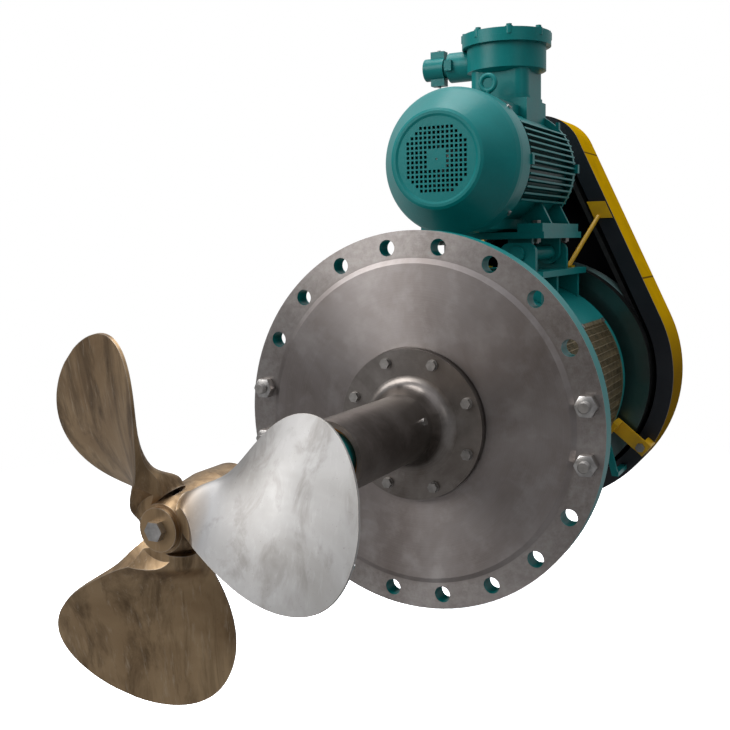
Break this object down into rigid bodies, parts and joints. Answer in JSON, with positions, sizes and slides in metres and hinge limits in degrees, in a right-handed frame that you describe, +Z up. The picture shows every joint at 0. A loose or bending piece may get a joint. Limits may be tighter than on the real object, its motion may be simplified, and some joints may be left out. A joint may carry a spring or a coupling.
{
  "type": "side entry tank mixer",
  "caption": "Side entry tank mixer: marine propeller on a shaft through a bolted tank flange, driven by V belts from a finned motor on a tilting base, under a belt guard.",
  "frame": {"origin": "where the shaft axis crosses the tank flange's bolting face", "axes": "-Y points along the shaft into the tank, +Y towards the belt drive, +Z up towards the motor, X across"},
  "size_m": [0.8129, 1.8894, 1.3137],
  "materials": {
    "turned_steel": "turned bare steel",
    "fastener_steel": "bare steel",
    "bronze": "bare bronze",
    "shaft_steel": "ground steel",
    "cast_propeller": "ground stainless casting",
    "green_paint": "semi-gloss paint",
    "seal_carbon": "matt carbon",
    "bearing_steel": "polished steel",
    "guard_mesh": "expanded sheet",
    "pulley_iron": "machined iron",
    "belt_rubber": "matt rubber",
    "core_iron": "laminated iron",
    "fan_plastic": "matt",
    "terminal_plastic": "matt",
    "yellow_paint": "gloss paint",
    "black_paint": "satin paint"
  },
  "bodies": {
    "housing": {"mounting_flange": "turned_steel", "stuffing_tube": "turned_steel", "tube_flange_bolts": "fastener_steel", "tube_bush": "bronze", "tube_screw": "fastener_steel", "transport_studs": "fastener_steel", "transport_nuts": "fastener_steel", "seal_gland": "green_paint", "gland_bolts": "fastener_steel", "seal_seat": "seal_carbon", "housing_drum": "green_paint", "bearing_cartridge": "green_paint", "front_bearing_outer": "bearing_steel", "rear_bearing_outer": "bearing_steel", "rear_bearing_cover": "green_paint", "mesh_guards": "guard_mesh", "mesh_screws": "fastener_steel", "belts": "belt_rubber", "hinge_rod": "green_paint", "saddle": "green_paint", "jack_screws": "fastener_steel", "belt_guard_cover": "yellow_paint", "belt_guard_frame": "black_paint", "guard_brackets": "yellow_paint", "strap_bolts": "fastener_steel"},
    "shaft": {"impeller_shaft": "shaft_steel", "propeller": "cast_propeller", "propeller_key": "shaft_steel", "hub_cap": "cast_propeller", "hub_bolt": "fastener_steel", "shutoff_collar": "green_paint", "seal_sleeve": "shaft_steel", "seal_ring": "seal_carbon", "front_bearing_inner": "bearing_steel", "rear_bearing_inner": "bearing_steel", "bearing_locknut": "fastener_steel", "driven_pulley": "pulley_iron", "driven_key": "shaft_steel"},
    "motor": {"motor_frame": "green_paint", "drive_end_shield": "green_paint", "fan_end_shield": "green_paint", "stator_core": "core_iron", "motor_bearings": "bearing_steel", "fan_cover": "green_paint", "fan_cover_screws": "fastener_steel", "terminal_box": "green_paint", "terminal_lid": "green_paint", "lid_bolts": "green_paint", "terminal_block": "terminal_plastic", "cable_gland": "green_paint", "gland_clamp_screws": "fastener_steel", "eyebolt": "green_paint", "motor_base_plate": "green_paint", "foot_bolts": "fastener_steel"},
    "rotor": {"rotor_core": "core_iron", "motor_shaft": "shaft_steel", "cooling_fan": "fan_plastic", "drive_pulley": "pulley_iron", "drive_key": "shaft_steel"}
  },
  "joints": [
    {"name": "shaft_spin", "type": "hinge", "parent": "housing", "child": "shaft", "pos_m": [0, 0, 0], "axis": [0, 1, 0], "continuous": true},
    {"name": "motor_tilt", "type": "hinge", "parent": "housing", "child": "motor", "pos_m": [0.097, 0.4, 0.348], "axis": [0, 1, 0], "range_deg": [0, 3], "deforming": ["belts"]},
    {"name": "motor_spin", "type": "hinge", "parent": "motor", "child": "rotor", "pos_m": [0, 0.5, 0.56], "axis": [0, 1, 0], "continuous": true}
  ],
  "couplings": [
    {"joint": "motor_spin", "follows": "shaft_spin", "ratio": 4.0187}
  ]
}
